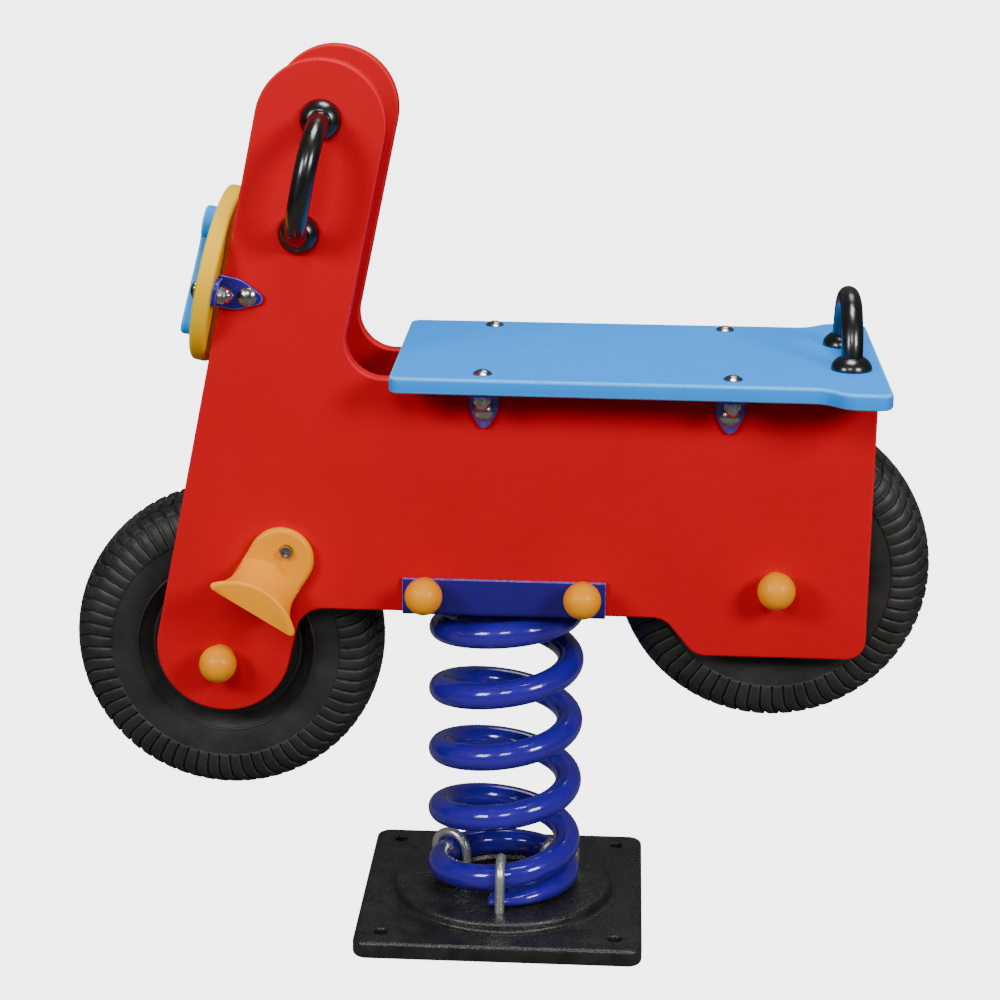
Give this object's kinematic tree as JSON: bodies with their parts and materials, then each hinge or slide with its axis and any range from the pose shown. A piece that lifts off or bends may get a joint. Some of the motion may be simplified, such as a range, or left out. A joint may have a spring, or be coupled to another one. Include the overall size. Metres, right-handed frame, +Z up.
{
  "type": "spring rider",
  "caption": "Playground spring rider shaped like a motor scooter: red side panels, blue seat, grab handles, footrests and rubber wheels on one coil spring over a cast base plate.",
  "frame": {"origin": "centre of the base plate's underside, on the coil spring's axis", "axes": "+Z up along the spring; the rider faces -X; +Y is the rider's right-hand side seen from above with X pointing to the rear"},
  "size_m": [0.7, 0.262, 0.7196],
  "materials": {
    "panel_red": "smooth dyed polyethylene board, satin",
    "board_blue": "smooth dyed polyethylene board, satin",
    "board_yellow": "smooth dyed polyethylene board, satin",
    "knob_orange": "moulded nylon, satin",
    "spring_blue": "thick gloss paint on steel",
    "bracket_blue": "powder coat on steel plate",
    "base_iron": "black painted rough casting",
    "grip_black": "glossy moulded nylon",
    "tyre_black": "matte moulded rubber",
    "tube_black": "matte butyl rubber",
    "rim_black": "satin black paint on pressed steel",
    "zinc": "bright zinc plating",
    "bush_black": "nylon"
  },
  "bodies": {
    "base": {"base_plate": "base_iron", "base_u_bolts": "zinc", "base_u_bolt_washers": "zinc", "base_u_bolt_nuts": "zinc", "spring_bottom_turn": "spring_blue"},
    "spring_low": {"spring_lower_turns": "spring_blue"},
    "spring_mid": {"spring_middle_turns": "spring_blue"},
    "spring_high": {"spring_upper_turns": "spring_blue"},
    "front_wheel": {"front_tyre": "tyre_black", "front_inner_tube": "tube_black", "front_rim_halves": "rim_black", "front_hub": "zinc", "front_hub_bushes": "bush_black"},
    "rear_wheel": {"rear_tyre": "tyre_black", "rear_inner_tube": "tube_black", "rear_rim_halves": "rim_black", "rear_hub": "zinc", "rear_hub_bushes": "bush_black"},
    "rider": {"spring_top_turn": "spring_blue", "saddle_channel": "bracket_blue", "spring_claws": "bracket_blue", "spring_claw_bolts": "zinc", "saddle_through_bolts": "zinc", "saddle_spacers": "zinc", "saddle_nuts": "zinc", "saddle_ball_caps": "knob_orange", "left_side_panel": "panel_red", "right_side_panel": "panel_red", "seat_board": "board_blue", "seat_brackets": "bracket_blue", "seat_bolts": "zinc", "seat_acorn_nuts": "zinc", "seat_bracket_bolts": "zinc", "seat_bracket_nuts": "zinc", "headlight_board": "board_yellow", "headlight_emblem": "board_blue", "emblem_screws": "zinc", "left_headlight_bracket": "bracket_blue", "right_headlight_bracket": "bracket_blue", "headlight_bolts": "zinc", "headlight_acorn_nuts": "zinc", "headlight_bracket_bolts": "zinc", "headlight_bracket_nuts": "zinc", "left_grab_handle": "grip_black", "right_grab_handle": "grip_black", "seat_grab_handle": "grip_black", "panel_handle_bolts": "zinc", "seat_handle_bolts": "zinc", "left_footrest": "knob_orange", "right_footrest": "knob_orange", "footrest_bolts": "zinc", "footrest_tee_nuts": "zinc", "front_axle_bolt": "zinc", "rear_axle_bolt": "zinc", "axle_sleeves": "zinc", "axle_nuts": "zinc", "front_axle_ball_caps": "knob_orange", "rear_axle_ball_caps": "knob_orange"}
  },
  "joints": [
    {"name": "bounce", "type": "slide", "parent": "base", "child": "spring_low", "axis": [0, 0, 1], "range_m": [-0.008, 0.004], "stiffness_N_per_m": 450000, "deforming": ["spring_lower_turns"]},
    {"name": "fore_aft_rock", "type": "hinge", "parent": "spring_low", "child": "spring_mid", "pos_m": [0, 0, 0.126], "axis": [0, 1, 0], "range_deg": [-15, 15], "stiffness_Nm_per_rad": 1450, "deforming": ["spring_middle_turns"]},
    {"name": "side_sway", "type": "hinge", "parent": "spring_mid", "child": "spring_high", "pos_m": [0, 0, 0.207], "axis": [1, 0, 0], "range_deg": [-10, 10], "stiffness_Nm_per_rad": 1450, "deforming": ["spring_upper_turns"]},
    {"name": "twist", "type": "hinge", "parent": "spring_high", "child": "rider", "pos_m": [0, 0, 0.245], "axis": [0, 0, 1], "range_deg": [-8, 8], "stiffness_Nm_per_rad": 1650},
    {"name": "front_wheel_spin", "type": "hinge", "parent": "rider", "child": "front_wheel", "pos_m": [-0.229, 0, 0.237], "axis": [0, 1, 0], "continuous": true},
    {"name": "rear_wheel_spin", "type": "hinge", "parent": "rider", "child": "rear_wheel", "pos_m": [0.216, 0, 0.311], "axis": [0, 1, 0], "continuous": true}
  ]
}
